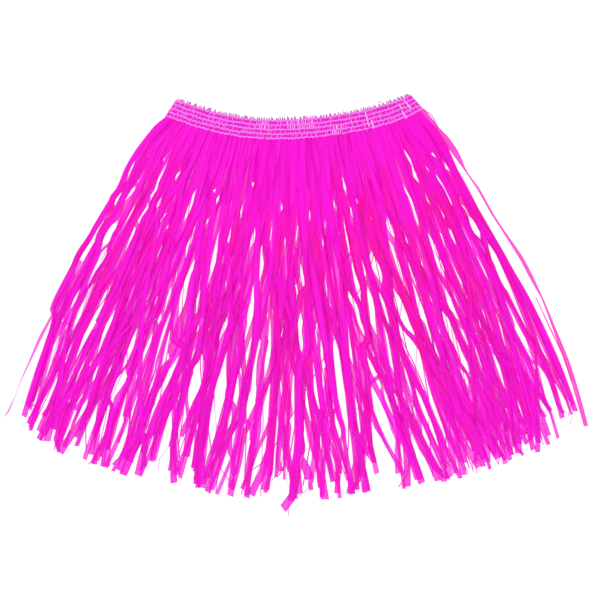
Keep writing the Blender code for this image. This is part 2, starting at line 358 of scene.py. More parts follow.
Loose = namedtuple("Loose", "places clear tone")
LOOSE_RIBBONS = [
    Loose(OUTER_RIGHT, 0.25, -0.3),
    Loose(INNER_TOP_RIGHT, 0.1, 0.4),
    Loose(CORNER_RIGHT, 0.0, -0.3),
    Loose(INNER_RIGHT, 0.0, 0.5),
    Loose(STRAY_LEFT, 0.7, 0.5),
]
LOOSE_FOLD, LOOSE_TWIST = math.radians(12), math.radians(12)
LOOSE_TWIST_WAVES = 2.0
LOOSE_SLANT = 0.2

# Notches in the hem, where the ribbons are cut shorter. Where the depth is negative they hang lower.
Notch = namedtuple("Notch", "across spread depth")
NOTCHES = [
    Notch(-0.99, 0.04, 20.0),
    Notch(-0.91, 0.03, 8.0),
    Notch(-0.76, 0.02, 14.0),
    Notch(-0.46, 0.03, 30.0),
    Notch(-0.37, 0.02, 18.0),
    Notch(-0.15, 0.014, -22.0),
    Notch(-0.07, 0.02, 16.0),
    Notch(-0.03, 0.014, -18.0),
    Notch(0.30, 0.03, 26.0),
    Notch(0.93, 0.035, 28.0),
]

# Cut ends of the ribbons: ragged, and some of them far shorter
HEM_MOST = 0.980
HEM_RAGGED = 0.042
HEM_SHORT_SHARE = 0.08
HEM_SHORT_BY = 0.16
HEM_SHORT_VARIES = (0.2, 1.0)

# Where the dye came out more violet, or more red where the shift is negative
Dye = namedtuple("Dye", "across along breadth length shift")
DYES = [
    Dye(-0.10, 0.02, 0.75, 0.16, 0.9),
    Dye(-0.65, 0.85, 0.40, 0.35, 0.8),
    Dye(0.50, 0.35, 0.45, 0.30, -0.6),
    Dye(0.50, 0.90, 0.40, 0.25, 0.3),
]

# Widths of the ribbons, which start tucked under the waistband. Thin ones lie across the slits.
RIBBON_WIDTH = 5.0
WIDTH_SPREAD = 0.32
WIDTH_LEAST, WIDTH_MOST = 2.0, 9.0
THIN_SHARE = 0.14
THIN_WIDTH = (0.6, 1.5)
ROOT_SHIFT = 0.45
RIBBON_STEPS = 60
RIBBON_CELLS = 6
TUCK = -0.015

# Folds and twists along a ribbon. It is crushed at its root and flatter at the hem.
LEAST_FOLD, ADDED_FOLD = math.radians(6), math.radians(62)
FOLD_WAVES, FOLD_SHARPNESS = 1.8, 2.2
ROOT_FOLD, ROOT_FOLD_ENDS = math.radians(18), 0.14
TWIST, TWIST_WAVES = math.radians(34), 1.7
HEM_FLATTENS, HEM_FLAT_FROM, HEM_FLAT_BY = 0.35, 0.65, 0.92
CRINKLE, CRINKLE_WAVES = 0.14, 7.0

# Ribbons that turn over once, those that narrow to the tip, the slant of the cut, and hooked tips
FLIPPED_SHARE = 0.4
FLIP_AT, FLIP_LENGTH = (0.25, 0.95), (0.04, 0.10)
NARROWED_SHARE, NARROWED_BY, NARROWED_FROM = 0.12, 0.85, 0.86
CUT_SLANT, CUT_SHARPNESS = 0.25, 20
HOOKED, THIN_HOOKED = 0.05, 0.5
HOOK_FROM = 0.955
HOOK_REACH = (4.0, 9.0)

# How high a ribbon lies in the room of its layer, and the lowest that its middle line and edges may lie
SEAT_IN_ROOM = 0.45
SEAT_SWAY, SEAT_WAVES = 0.8, 1.3
HEM_SETTLES, HEM_SETTLES_FROM = 0.65, 0.80
PRESSED_FLAT = 0.5
LOWEST_MIDDLE, LOWEST_EDGE_RISE = 0.12, 0.03

# How clear the film is, and its painted shade: least clear at its root and in folds, and painted darkest
# at its edges and in its folds, as shade where ribbons meet, overlap and fold
CLEAR_AT_ROOT, CLEAR_FROM, CLEAR_BY = 0.3, 0.05, 0.30
FOLD_CLOUDS = 0.8
# Painted shade in the folds: how much darker a folded ribbon is painted
FOLD_SHADE = 0.45
# Painted shade at the edges of a ribbon, where ribbons meet and overlap: how near the edge it keeps, how
# strong it is at the root, and from where to where it grows
EDGE_SHADE_SHARPNESS = 4
EDGE_SHADE_AT_ROOT, EDGE_SHADE_FROM, EDGE_SHADE_BY = 0.55, 0.15, 0.50

# A ribbon's pattern starts anywhere across the film, and its stripe in the bake map has margins
PATTERN_REACH = 500
STRIPE_MARGIN, STRIPE_END_MARGIN = 0.06, 0.005

# A wandering line is made of a few sines, each finer and lower than the one before
NOISE_SINES = 3
NOISE_LEAST, NOISE_SPREAD = 0.7, 0.6
NOISE_PEAK = 1.6

# The layout tries many lines for each ribbon, on a grid of cells, and keeps the one that lies best
LINES_TRIED = 400
ALONG = np.linspace(TUCK, 1.0, 102)
ACROSS_CELLS = 1200
ACROSS_REACH = 1.16
CELL = 2 * ACROSS_REACH / ACROSS_CELLS
SLIT_PRICE = 10.0
BARE_PRIZE = 3.5
LAID_WIDTH = 0.4
LEAN_SPREAD, LEAN_GROWS = 14.0, 1.2
BOW_SPREAD = 5.0
KINKS = 3
KINK_SLOPE, KINK_AT = 0.14, (0.1, 0.9)
LATE_KINK_SLOPE, LATE_KINK_AT = 0.16, (0.70, 0.90)
KINK_SOFTNESS = 0.03
HELD_AT_SIDES, HELD_GRIP = 0.75, 6
CROWD_OUTWARD = 0.09

# Sizes of the patterns in the materials, across and along
DRAWN_LINES = (1.5625, 71.43)
CREASES = (6.25, 15.385)
DYE_PATCHES = (16.667, 38.46)
CRUSHED_PLEATS = (1.1111, 5.556)
YARN_TWIST = 0.625
ACRYLIC_MOTTLE = 20.0

# Camera and light, in metres but for the width of the sensor
VIEW_SPAN = 0.612
VIEW_FROM = 1.6
SENSOR = 36.0
AIM = (0.0024, 0.0032)
FLOOR_SIZE = 4.0
SKY_STRENGTH = 0.78
LAMP_SIZE = 1.0
Lamp = namedtuple("Lamp", "name place power")
LAMPS = [
    Lamp("window_left", (-1.2, 0.7, 1.3), 10.0),
    Lamp("window_right", (1.3, -0.4, 1.5), 6.0),
]


def srgb(code):
    """A colour as linear values, from its sRGB hex code."""
    parts = [int(code[i:i + 2], 16) / 255 for i in (0, 2, 4)]
    linear = [c / 12.92 if c <= 0.04045 else ((c + 0.055) / 1.055) ** 2.4 for c in parts]
    return (*linear, 1.0)


def ease(where, start, end):
    """A smooth step from 0 at start to 1 at end."""
    t = np.clip((where - start) / (end - start), 0, 1)
    return t * t * (3 - 2 * t)


def smooth_noise(random, where, waves, strength=1.0):
    """A smooth random line through shares, made of a few sines, from about -strength to strength."""
    total = np.zeros_like(where)
    for sine in range(NOISE_SINES):
        turns = waves * (NOISE_LEAST + NOISE_SPREAD * random.random()) * (1 + sine)
        total += np.sin(where * turns * FULL_TURN + random.uniform(0, FULL_TURN)) / (1 + sine)
    return total * strength / NOISE_PEAK


def band_edge_samples():
    """The lower edge of the waistband as a smooth curve: its x, its polynomial and its share of length."""
    curve = np.polyfit([p.x for p in BAND_EDGE], [p.y for p in BAND_EDGE], EDGE_DEGREE)
    x = np.linspace(BAND_EDGE[0].x, BAND_EDGE[-1].x, EDGE_SAMPLES)
    steps = np.hypot(np.diff(x), np.diff(np.polyval(curve, x)))
    length = np.concatenate([[0.0], np.cumsum(steps)])
    return x, curve, length / length[-1]


# The drawing has its own zero, so it is shifted until the waistband starts where its solid starts
EDGE_X, EDGE_CURVE, EDGE_SHARE = band_edge_samples()
BAND_SPAN = EDGE_X[-1] - EDGE_X[0]
BAND_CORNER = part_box("waistband_front")[0]
PLAN_SHIFT = np.array([
    BAND_CORNER[0] / MM - EDGE_X.min(),
    BAND_CORNER[1] / MM - np.polyval(EDGE_CURVE, EDGE_X).min(),
])


def band_point(share, height):
    """Points on the waistband, by the share of its length and the height over its lower edge."""
    x = np.interp(share, EDGE_SHARE, EDGE_X)
    slope = np.polyval(np.polyder(EDGE_CURVE), x)
    lean = -np.arctan(slope) - END_LEAN * (2 * share - 1) ** 3
    y = np.polyval(EDGE_CURVE, x)
    return np.stack([x + height * np.sin(lean), y + height * np.cos(lean)], axis=-1) + PLAN_SHIFT


def fan_point(across, along):
    """Points in the fringe, from the shares across and along."""
    root = band_point((np.clip(across, -1, 1) + 1) / 2, -ROOT_DROP)
    angle = across * FAN_HALF_ANGLE
    hem = np.stack([np.sin(angle), -np.cos(angle)], axis=-1) * HEM_RADIUS
    hem += np.array([0.0, FAN_CENTRE_Y]) + PLAN_SHIFT
    point = root + (hem - root) * along[..., None]
    bow = SIDE_BOW * across * np.abs(across) * 4 * along * (1 - along)
    point[..., 0] += bow * np.cos(angle)
    point[..., 1] += bow * np.sin(angle)
    return point


def half_breadth(along):
    """Half the breadth of the fan, measured along its arc."""
    return (ROOT_RADIUS + FAN_LENGTH * along) * FAN_HALF_ANGLE


def slit_opening(slit, along):
    """Half the width of a slit, at shares along the ribbons."""
    progress = np.clip((along - slit.start) / (slit.end - slit.start), 0, 1)
    if slit.end == 1.0:
        return slit.width / 2 * np.sin(progress * math.pi / 2).clip(0) ** SLIT_ROUNDNESS
    widest = 0.5 + SLIT_SKEW * math.sin(SLIT_SKEW_VARIES * slit.top)
    rise, fall = progress / widest, (1 - progress) / (1 - widest)
    return slit.width / 2 * np.sin(np.minimum(rise, fall) * math.pi / 2).clip(0) ** SLIT_ROUNDNESS


def slit_centre(slit, along):
    """The middle line of a slit, as shares across."""
    return np.interp(along, (slit.start, slit.end), (slit.top, slit.bottom))


def is_free(across, middle, slits):
    """Whether a slit with its middle at a place would lie apart from other slits and solid regions."""
    for slit in slits:
        if slit.start - SLITS_APART_ALONG < middle < slit.end + SLITS_APART_ALONG:
            apart = abs(across - slit_centre(slit, middle)) * half_breadth(middle)
            if apart <= slit.width / 2 + SLITS_APART:
                return False
    return not any(r.left < across < r.right and r.start < middle < r.end for r in SOLID_REGIONS)


def scatter_slits(scatter, slits, random):
    """Add slits at random places in a region, apart from each other and from the ones already there."""
    wanted = len(slits) + scatter.count
    for _ in range(scatter.count * TRIES_A_SLIT):
        across = random.uniform(scatter.left, scatter.right)
        middle = random.uniform(scatter.start, scatter.end)
        half_length = random.uniform(*scatter.length) / 2
        if is_free(across, middle, slits):
            lean = SCATTERED_LEAN * across + random.uniform(-SCATTERED_LEAN, SCATTERED_LEAN)
            start, end = middle - half_length, min(middle + half_length, SCATTERED_END)
            slits.append(Slit(across - lean, across + lean, start, end, random.uniform(*scatter.width)))
        if len(slits) == wanted:
            return


def all_slits():
    """Every slit, and those of them that part the ribbons beside them."""
    random = np.random.default_rng(SLIT_SEED)
    slits, parting = list(SLITS), list(SLITS)
    for scatter in SCATTERED:
        known = len(slits)
        scatter_slits(scatter, slits, random)
        if scatter.parts_ribbons:
            parting += slits[known:]
    return slits, parting


EVERY_SLIT, PARTING_SLITS = all_slits()


def slit_cells():
    """The layout's grid, with a one in each cell that a slit should leave open."""
    across = CELL * (np.arange(ACROSS_CELLS) + 0.5) - ACROSS_REACH
    cells = np.zeros((len(ALONG), ACROSS_CELLS))
    for slit in EVERY_SLIT:
        half = slit_opening(slit, ALONG) / half_breadth(ALONG)
        cells[np.abs(across - slit_centre(slit, ALONG)[:, None]) < half[:, None]] = 1
    return cells


def fan_edges(along):
    """The left and right edges of the fan, as shares across."""
    flare = ease(along, FLARE_STARTS, FLARE_FULL) * (1 - ease(along, FLARE_FULL, FLARE_ENDS))
    left = EDGE_LEFT + FLARE_LEFT * flare - DRAWN_IN_LEFT * ease(along, DRAWN_IN_FROM, DRAWN_IN_BY)
    return -left, EDGE_RIGHT + FLARE_RIGHT * flare


def within_fan(line, along):
    """Keep lines, in shares across, inside the fan, and carry the outermost ones out to its edges."""
    beyond = np.maximum(np.abs(line) - EDGE_BEGINS, 0)
    room = 1 - EDGE_BEGINS
    line = np.sign(line) * (np.minimum(np.abs(line), EDGE_BEGINS) + room * (1 - np.exp(-beyond / room)))
    left, right = fan_edges(along)
    return line * (1 + (np.where(line < 0, -left, right) - 1) * np.abs(line) ** EDGE_GRIP)


def lines_to_try(middle, drift, random):
    """Lines that a ribbon could take, in shares across: straight, but for a slow bow and some kinks."""
    many = (LINES_TRIED, 1)
    rooted = ALONG.clip(0)
    freedom = 1 - HELD_AT_SIDES * abs(middle) ** HELD_GRIP
    leaning = drift * (1 - middle ** 2) + random.normal(0, LEAN_SPREAD, many)
    bow = random.normal(0, BOW_SPREAD, many)
    shift = leaning * rooted ** LEAN_GROWS + bow * np.sin(math.pi * rooted)
    for _ in range(KINKS):
        past = rooted - random.uniform(*KINK_AT, many)
        past = (past + np.sqrt(past ** 2 + KINK_SOFTNESS ** 2)) / 2
        shift = shift + random.normal(0, KINK_SLOPE, many) * past * FAN_LENGTH
    past = (rooted - random.uniform(*LATE_KINK_AT, many)).clip(0)
    shift = shift + random.normal(0, LATE_KINK_SLOPE, many) * past * FAN_LENGTH
    return within_fan(middle + shift * freedom / half_breadth(ALONG), ALONG)


def best_line(lines, half_width, reach, slits, covered):
    """Of some lines, the one that covers the most bare cells and the fewest cells of slits."""
    half = half_width / half_breadth(ALONG)
    low, high = [((edge + ACROSS_REACH) / CELL).astype(int).clip(0, ACROSS_CELLS)
                 for edge in (lines - half, lines + half)]
    steps = np.arange(len(ALONG))
    price = np.where(covered == 0, -BARE_PRIZE, covered) * (1 - slits) + SLIT_PRICE * slits
    summed = np.concatenate([np.zeros((len(ALONG), 1)), np.cumsum(price, axis=1)], axis=1)
    weight = half_breadth(ALONG) * (ALONG <= reach)
    cost = ((summed[steps, high] - summed[steps, low]) * weight).sum(axis=1)
    best = int(np.argmin(cost))
    for step in steps[ALONG <= reach]:
        covered[step, low[best, step]:high[best, step]] += 1
    return lines[best]


def clear_of_slits(line, half_width, along):
    """Bend a ribbon's line, in shares across, out of each slit on the side where it lies."""
    breadth = half_breadth(along)
    for slit in PARTING_SLITS:
        opening = slit_opening(slit, along)
        centre = slit_centre(slit, along)
        at = (slit.start + slit.end) / 2
        side = -1.0 if np.interp(at, along, line) < slit_centre(slit, at) else 1.0
        need = opening + CLEAR_OF_SLIT * half_width * np.minimum(opening / SLIT_OPENS_OVER, 1)
        away = side * (line - centre) * breadth
        line = line + side * np.where(opening > 0, np.maximum(need - away, 0), 0) / breadth
    left, right = fan_edges(along)
    return np.clip(line, left - EDGE_SWAY, right + EDGE_SWAY)


def hem_reach(random):
    """The share along at which a ribbon is cut off."""
    reach = HEM_MOST - abs(random.normal(0, HEM_RAGGED))
    if random.random() < HEM_SHORT_SHARE:
        reach -= random.uniform(*HEM_SHORT_VARIES) * HEM_SHORT_BY
    return reach


def notched(reach, across):
    """The same share, less the notches in the hem where the ribbon ends."""
    for notch in NOTCHES:
        nearness = math.exp(-((across - notch.across) / notch.spread) ** 2)
        reach -= nearness * notch.depth / FAN_LENGTH
    return reach


def dye_shift(across, along):
    """How much more violet the film is at places in the fringe."""
    shift = np.zeros_like(along)
    for dye in DYES:
        apart = ((across - dye.across) / dye.breadth) ** 2 + ((along - dye.along) / dye.length) ** 2
        shift += dye.shift * np.exp(-apart)
    return shift


Ribbon = namedtuple("Ribbon", "points tone clear edge across_mm along_mm")
Bend = namedtuple("Bend", "fold twist slant")
Look = namedtuple("Look", "tone clear deep")


def shape_ribbon(level, line, width, reach, random):
    """One ribbon of a layer along a line, which twists and folds, bends clear of slits and may be hooked."""
    along = np.linspace(TUCK, reach, RIBBON_STEPS + 1)
    end = np.linspace(0, 1, RIBBON_STEPS + 1)
    across = np.interp(along, ALONG, line)
    if width > WIDTH_LEAST:
        across = clear_of_slits(across, width / 2, along)
    if random.random() < (THIN_HOOKED if width < WIDTH_LEAST else HOOKED):
        hook = random.uniform(*HOOK_REACH) * random.choice([-1, 1])
        across = across + hook * ease(end, HOOK_FROM, 1.0) ** 2 / half_breadth(along)

    folded = (0.5 + 0.5 * smooth_noise(random, along, FOLD_WAVES)).clip(0, 1)
    flat = 1 - HEM_FLATTENS * ease(along, HEM_FLAT_FROM, HEM_FLAT_BY)
    fold = LEAST_FOLD + ADDED_FOLD * flat * folded ** FOLD_SHARPNESS
    fold = np.maximum(fold, ROOT_FOLD * (1 - ease(along, 0.0, ROOT_FOLD_ENDS)))
    twist = TWIST * flat * smooth_noise(random, along, TWIST_WAVES)
    if random.random() < FLIPPED_SHARE:
        flip = random.uniform(*FLIP_AT)
        turned = ease(along, flip, flip + random.uniform(*FLIP_LENGTH))
        twist += math.pi * turned * random.choice([-1, 1])
    half = np.full_like(along, width / 2)
    if random.random() < NARROWED_SHARE:
        half *= 1 - NARROWED_BY * ease(end, NARROWED_FROM, 1.0)

    bend = Bend(fold, twist, random.uniform(-CUT_SLANT, CUT_SLANT))
    tone = random.uniform(0, 1) + dye_shift(across, along)
    clear = random.uniform(0, 1) * (1 - FOLD_CLOUDS * folded)
    look = Look(tone, clear, FOLD_SHADE * folded ** 2)
    return lay_film(level, fan_point(across, along), along, half, bend, look, random)


def loose_ribbon(level, loose, random):
    """A ribbon that lies outside the fan, through given places. It is narrow where it is turned on edge."""
    places = loose.places
    along = np.linspace(places[0].along, places[-1].along, RIBBON_STEPS + 1)
    across = np.interp(along, [place.along for place in places], [place.across for place in places])
    half = np.interp(along, [place.along for place in places], [place.width / 2 for place in places])
    twist = LOOSE_TWIST * smooth_noise(random, along, LOOSE_TWIST_WAVES)
    bend = Bend(np.full_like(along, LOOSE_FOLD), twist, LOOSE_SLANT)
    look = Look(np.full_like(along, loose.tone), np.full_like(along, loose.clear), np.zeros_like(along))
    return lay_film(level, fan_point(across, along), along, half, bend, look, random)


def lay_film(level, centre, along, half, bend, look, random):
    """The grid of points of a ribbon whose middle line, breadth and bends are known."""
    forward = np.gradient(centre, axis=0)
    forward /= np.linalg.norm(forward, axis=1, keepdims=True)
    sideways = np.stack([-forward[:, 1], forward[:, 0]], axis=-1)

    # Its section: folded up from the middle to both edges, crinkled, and turned by the twist
    cells = np.linspace(-1, 1, RIBBON_CELLS + 1)
    lateral = cells * (half * np.cos(bend.fold))[:, None]
    raised = np.abs(cells) * (half * np.sin(bend.fold))[:, None]
    crinkle = np.stack([smooth_noise(random, along, CRINKLE_WAVES, CRINKLE) for _ in cells], axis=1)
    raised = raised + crinkle * (half / (RIBBON_WIDTH / 2))[:, None]
    turn = bend.twist[:, None]
    out = lateral * np.cos(turn) - raised * np.sin(turn)
    up = lateral * np.sin(turn) + raised * np.cos(turn)

    # Its height: a wandering seat in the room of its layer, and never through the surface it lies on
    room = np.interp(along, [loft.along for loft in LOFTS], [loft.room for loft in LOFTS])
    sway = 1 + SEAT_SWAY * smooth_noise(random, along, SEAT_WAVES)
    seat = SEAM_GAP + level * room + room * SEAT_IN_ROOM * sway
    seat = seat * (1 - HEM_SETTLES * ease(along, HEM_SETTLES_FROM, 1.0))
    lowest = LOWEST_MIDDLE + LOWEST_EDGE_RISE * np.abs(cells)
    height = np.maximum(seat[:, None] + up * PRESSED_FLAT, lowest)

    end = np.linspace(0, 1, len(along))[:, None]
    slant = cells * bend.slant * half[-1] * end ** CUT_SHARPNESS
    plan = centre[:, None] + sideways[:, None] * out[..., None] + forward[:, None] * slant[..., None]
    points = np.concatenate([plan, height[..., None]], axis=-1)

    # What its material reads. The edge value is painted shade, darker at the ribbon's edges and in its
    # folds, and it lets less light through there
    edge_shade_strength = EDGE_SHADE_AT_ROOT + (1 - EDGE_SHADE_AT_ROOT) * ease(along, EDGE_SHADE_FROM, EDGE_SHADE_BY)
    edge = np.maximum(np.abs(cells) ** EDGE_SHADE_SHARPNESS * edge_shade_strength[:, None], look.deep[:, None])
    clear = look.clear * (CLEAR_AT_ROOT + (1 - CLEAR_AT_ROOT) * ease(along, CLEAR_FROM, CLEAR_BY))
    across_mm = cells * half[:, None] + random.uniform(0, PATTERN_REACH)
    tone, clear, along_mm = [
        np.repeat(values[:, None], len(cells), axis=1) for values in (look.tone, clear, along * FAN_LENGTH)
    ]
    return Ribbon(points, tone, clear, edge, across_mm, along_mm)


def grid_faces(rows, columns):
    """Corner numbers of the quads of a grid of points."""
    row, column = np.meshgrid(np.arange(rows - 1), np.arange(columns - 1), indexing="ij")
    corner = row * columns + column
    return np.stack([corner, corner + columns, corner + columns + 1, corner + 1], axis=-1).reshape(-1, 4)


def new_piece(name, data, material):
    """A piece of one material, made from mesh or curve data."""
    data.materials.append(material)
    piece = bpy.data.objects.new(name, data)
    bpy.context.scene.collection.objects.link(piece)
    return piece


def mesh_piece(name, material, points, faces, maps, shades):
    """A smooth mesh from points in millimetres, with its UV maps and the shades that its material reads."""
    mesh = bpy.data.meshes.new(name)
    mesh.from_pydata(points.reshape(-1, 3) * MM, [], faces.tolist())
    for key, places in maps.items():
        corners = places.reshape(-1, 2)[faces.ravel()].astype(np.float32)
        mesh.uv_layers.new(name=key).data.foreach_set("uv", corners.ravel())
    for key, values in shades.items():
        attribute = mesh.attributes.new(key, "FLOAT", "POINT")
        attribute.data.foreach_set("value", values.ravel().astype(np.float32))
    mesh.shade_smooth()
    return new_piece(name, mesh, material)


def film_piece(name, ribbons, material):
    """Many ribbons as one mesh, each unwrapped into its own upright stripe."""
    each = np.arange(len(ribbons))[:, None, None]
    rows, columns = ribbons[0].tone.shape
    faces = (grid_faces(rows, columns) + each * rows * columns).reshape(-1, 4)
    u = (each + np.linspace(STRIPE_MARGIN, 1 - STRIPE_MARGIN, columns)) / len(ribbons)
    v = np.linspace(STRIPE_END_MARGIN, 1 - STRIPE_END_MARGIN, rows)[:, None]
    grids = {key: np.stack([getattr(ribbon, key) for ribbon in ribbons]) for key in Ribbon._fields}
    maps = {
        "film": np.stack([grids["across_mm"], grids["along_mm"]], axis=-1) * MM,
        "OFBake": np.stack(np.broadcast_arrays(u, v), axis=-1),
    }
    shades = {key: grids[key] for key in ("tone", "clear", "edge")}
    return mesh_piece(name, material, grids["points"], faces, maps, shades)


def add_node(material, kind, settings=None, stops=(), **inputs):
    """Add a shader node with its settings and, where it is a ramp, its (place, colour) stops.

    An input goes by its socket's name, with _ for a space, or by its number after an i. It is a value, a
    colour's hex code, a socket to link from, or a node to link from by its first output.
    """
    node = material.node_tree.nodes.new("ShaderNode" + kind)
    for key, value in (settings or {}).items():
        setattr(node, key, value)
    for i, (place, colour) in enumerate(stops):
        elements = node.color_ramp.elements
        element = elements[i] if i < len(elements) else elements.new(place)
        element.position, element.color = place, srgb(colour)
    for key, value in inputs.items():
        by_number = key[0] == "i" and key[1:].isdigit()
        socket = node.inputs[int(key[1:]) if by_number else key.replace("_", " ")]
        if isinstance(value, (bpy.types.Node, bpy.types.NodeSocket)):
            source = value.outputs[0] if isinstance(value, bpy.types.Node) else value
            material.node_tree.links.new(source, socket)
        else:
            socket.default_value = srgb(value) if isinstance(value, str) else value
    return node


def new_material(name):
    """A material with no nodes yet."""
    material = bpy.data.materials.new(name)
    material.use_nodes = True
    material.node_tree.nodes.clear()
    return material


def pattern_scale(across, along):
    """The scale, for places in metres, of a pattern that has these real sizes in millimetres."""
    return (1 / (across * MM), 1 / (along * MM), 1.0)


def raffia_film(name):
    """Polypropylene film, cast thin, dyed fluorescent and slit into ribbon: clear colour, soft gloss.

    Its drawing lines run lengthwise, 1.6 mm apart, and creases cross it every 15 mm or so. One layer
    lets some light through, so that it looks paler where little lies below it. A faint glow of its own
    colour is painted light that lifts its shade, and its edges and folds are painted darker, as painted
    shade where the ribbons meet, overlap and fold.
    """
    material = new_material(name)
    film = add_node(material, "UVMap", {"uv_map": "film"})
    place = add_node(material, "TexCoord").outputs["Object"]
    tone, clear, edge = [
        add_node(material, "Attribute", {"attribute_name": shade}).outputs["Fac"]
        for shade in ("tone", "clear", "edge")
    ]
    patterns = []
    for at, sizes, detail in ((film, DRAWN_LINES, 3.0), (film, CREASES, 2.0), (place, DYE_PATCHES, 2.0)):
        scaled = add_node(material, "Mapping", Vector=at, Scale=pattern_scale(*sizes))
        patterns.append(add_node(material, "TexNoise", Vector=scaled, Scale=1.0, Detail=detail))
    lines, creases, patches = patterns

    # Colour: from hot to violet by the ribbon's own tone, patches and lines, and painted darker at its edges
    # and folds, as painted shade where ribbons meet, overlap and fold
    added = {"operation": "MULTIPLY_ADD"}
    mixed = add_node(material, "Math", added, i0=patches, i1=3.0, i2=tone)
    shade = add_node(material, "Math", added, i0=lines, i1=2.0, i2=mixed)
    shade = add_node(material, "Math", {"operation": "MULTIPLY"}, i0=shade, i1=0.2)
    middle = add_node(material, "ValToRGB", stops=[(0.36, "f311ac"), (0.63, "ef0fd9")], Fac=shade)
    # The rim colour bc0a98 is painted shade, mixed in by the edge value
    colour = add_node(material, "Mix", {"data_type": "RGBA"}, i0=edge, i6=middle, i7="bc0a98").outputs[2]
    relief = add_node(material, "Math", added, i0=creases, i1=2.0, i2=lines)
    bump = add_node(material, "Bump", Strength=0.3, Distance=0.0003, Height=relief)
    # Its emission, a glow of its own colour, is painted light that lifts its shaded parts
    skin = add_node(material, "BsdfPrincipled", Base_Color=colour, Roughness=0.42, IOR=1.49, Normal=bump,
                    Specular_IOR_Level=0.12, Emission_Color=colour, Emission_Strength=0.27)

    # Light that comes through: more in clear film and between its lines, and less at its edges
    thin = add_node(material, "Math", added, i0=clear, i1=0.35, i2=0.10)
    lined = add_node(material, "Math", added, i0=lines, i1=0.25, i2=thin)
    see = add_node(material, "Math", {**added, "use_clamp": True}, i0=edge, i1=-0.25, i2=lined)
    filtered = add_node(material, "BsdfTransparent", Color="f496de")
    both = add_node(material, "MixShader", i0=see, i1=skin, i2=filtered)
    add_node(material, "OutputMaterial", Surface=both)
    return material


def shirred_raffia(name):
    """The same film gathered tight, so that many layers lie in each pleat: deeper, duller, crushed.

    Its crushed pleats are 1 mm across and a few millimetres long. Its tone is painted shade and light:
    lighter on the ridges of the pleats, darker in their valleys and where the rows of thread pinch them,
    and a faint glow of its own colour is painted light.
    """
    material = new_material(name)
    depth = add_node(material, "Attribute", {"attribute_name": "tone"}).outputs["Fac"]
    film = add_node(material, "UVMap", {"uv_map": "film"})
    scaled = add_node(material, "Mapping", Vector=film, Scale=pattern_scale(*CRUSHED_PLEATS))
    pleats = add_node(material, "TexNoise", Vector=scaled, Scale=1.0, Detail=3.0)
    # The tone read here is painted shade: dark purple in the valleys between pleats and by the rows of
    # thread, lighter on the ridges
    shade = add_node(material, "Math", {"operation": "MULTIPLY_ADD"}, i0=pleats, i1=0.5, i2=depth)
    stops = [(0.38, "8c1688"), (0.62, "dc14be"), (0.95, "f22ad0")]
    colour = add_node(material, "ValToRGB", stops=stops, Fac=shade)
    bump = add_node(material, "Bump", Strength=0.5, Distance=0.0005, Height=pleats)
    # Its emission, a faint glow of its own colour, is painted light
    skin = add_node(material, "BsdfPrincipled", Base_Color=colour, Roughness=0.5, IOR=1.49, Normal=bump,
                    Specular_IOR_Level=0.12, Emission_Color=colour, Emission_Strength=0.08)
    add_node(material, "OutputMaterial", Surface=skin)
    return material


def covered_thread(name, light, dark):
    """Latex core covered with spun yarn, dyed paler than the film: matt, with a fine twist of 0.6 mm.

    The crumpled edges of the folded film are as matt and as fine, so they are made the same way.
    """
    material = new_material(name)
    place = add_node(material, "TexCoord").outputs["Object"]
    fuzz = add_node(material, "TexNoise", Vector=place, Scale=1 / (YARN_TWIST * MM), Detail=2.0)
    colour = add_node(material, "ValToRGB", stops=[(0.30, dark), (0.62, light)], Fac=fuzz)
    bump = add_node(material, "Bump", Strength=0.6, Distance=0.0002, Height=fuzz)
    skin = add_node(material, "BsdfPrincipled", Base_Color=colour, Roughness=0.75, IOR=1.5, Normal=bump,
                    Specular_IOR_Level=0.2)
    add_node(material, "OutputMaterial", Surface=skin)
    return material


def lit_acrylic(name):
    """Opal acrylic of a light table, lit from below: even white, with a faint mottle of 20 mm."""
    material = new_material(name)
    place = add_node(material, "TexCoord").outputs["Object"]
    mottle = add_node(material, "TexNoise", Vector=place, Scale=1 / (ACRYLIC_MOTTLE * MM), Detail=2.0)
    colour = add_node(material, "ValToRGB", stops=[(0.0, "868686"), (1.0, "8c8c8c")], Fac=mottle)
    skin = add_node(material, "BsdfPrincipled", Base_Color=colour, Roughness=0.6, Specular_IOR_Level=0.0,
                    Emission_Color="ffffff", Emission_Strength=0.9)
    add_node(material, "OutputMaterial", Surface=skin)
    return material


def make_fringe(level, layer, material, slits, covered):
    """One layer of ribbons, laid in turn on what the layers and ribbons before them leave bare."""
    random = np.random.default_rng(layer.seed)
    pitch = (layer.right - layer.left) / layer.ribbons
    ribbons = []
    for i in random.permutation(layer.ribbons):
        middle = layer.left + pitch * (i + 0.5 + random.uniform(-ROOT_SHIFT, ROOT_SHIFT))
        middle *= 1 + CROWD_OUTWARD * (1 - abs(middle))
        width = RIBBON_WIDTH * math.exp(random.normal(0, WIDTH_SPREAD))
        width = min(max(width, WIDTH_LEAST), WIDTH_MOST)
        thin = random.random() < THIN_SHARE
        if thin:
            width = random.uniform(*THIN_WIDTH)
        reach = hem_reach(random)
        lines = lines_to_try(middle, layer.drift, random)
        line = lines[0] if thin else best_line(lines, width * LAID_WIDTH, reach, slits, covered)
        ribbons.append(shape_ribbon(level, line, width, notched(reach, line[-1]), random))
    if level == len(LAYERS) - 1:
        ribbons += [loose_ribbon(level, loose, random) for loose in LOOSE_RIBBONS]
    piece = film_piece(layer.name + "_ribbons", ribbons, material)
    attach(piece, BODY)
    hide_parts(layer.name)
    return piece


def pinch(height):
    """How free the cloth is between two rows of thread: 0 on a row and 1 half way between rows."""
    return np.abs(np.sin((height - LOWEST_ROW) / ROW_PITCH * math.pi))


def wave_height(wave, share, height):
    """A slow wave over the band."""
    return wave.size * np.sin(share * wave.across + height * wave.up)


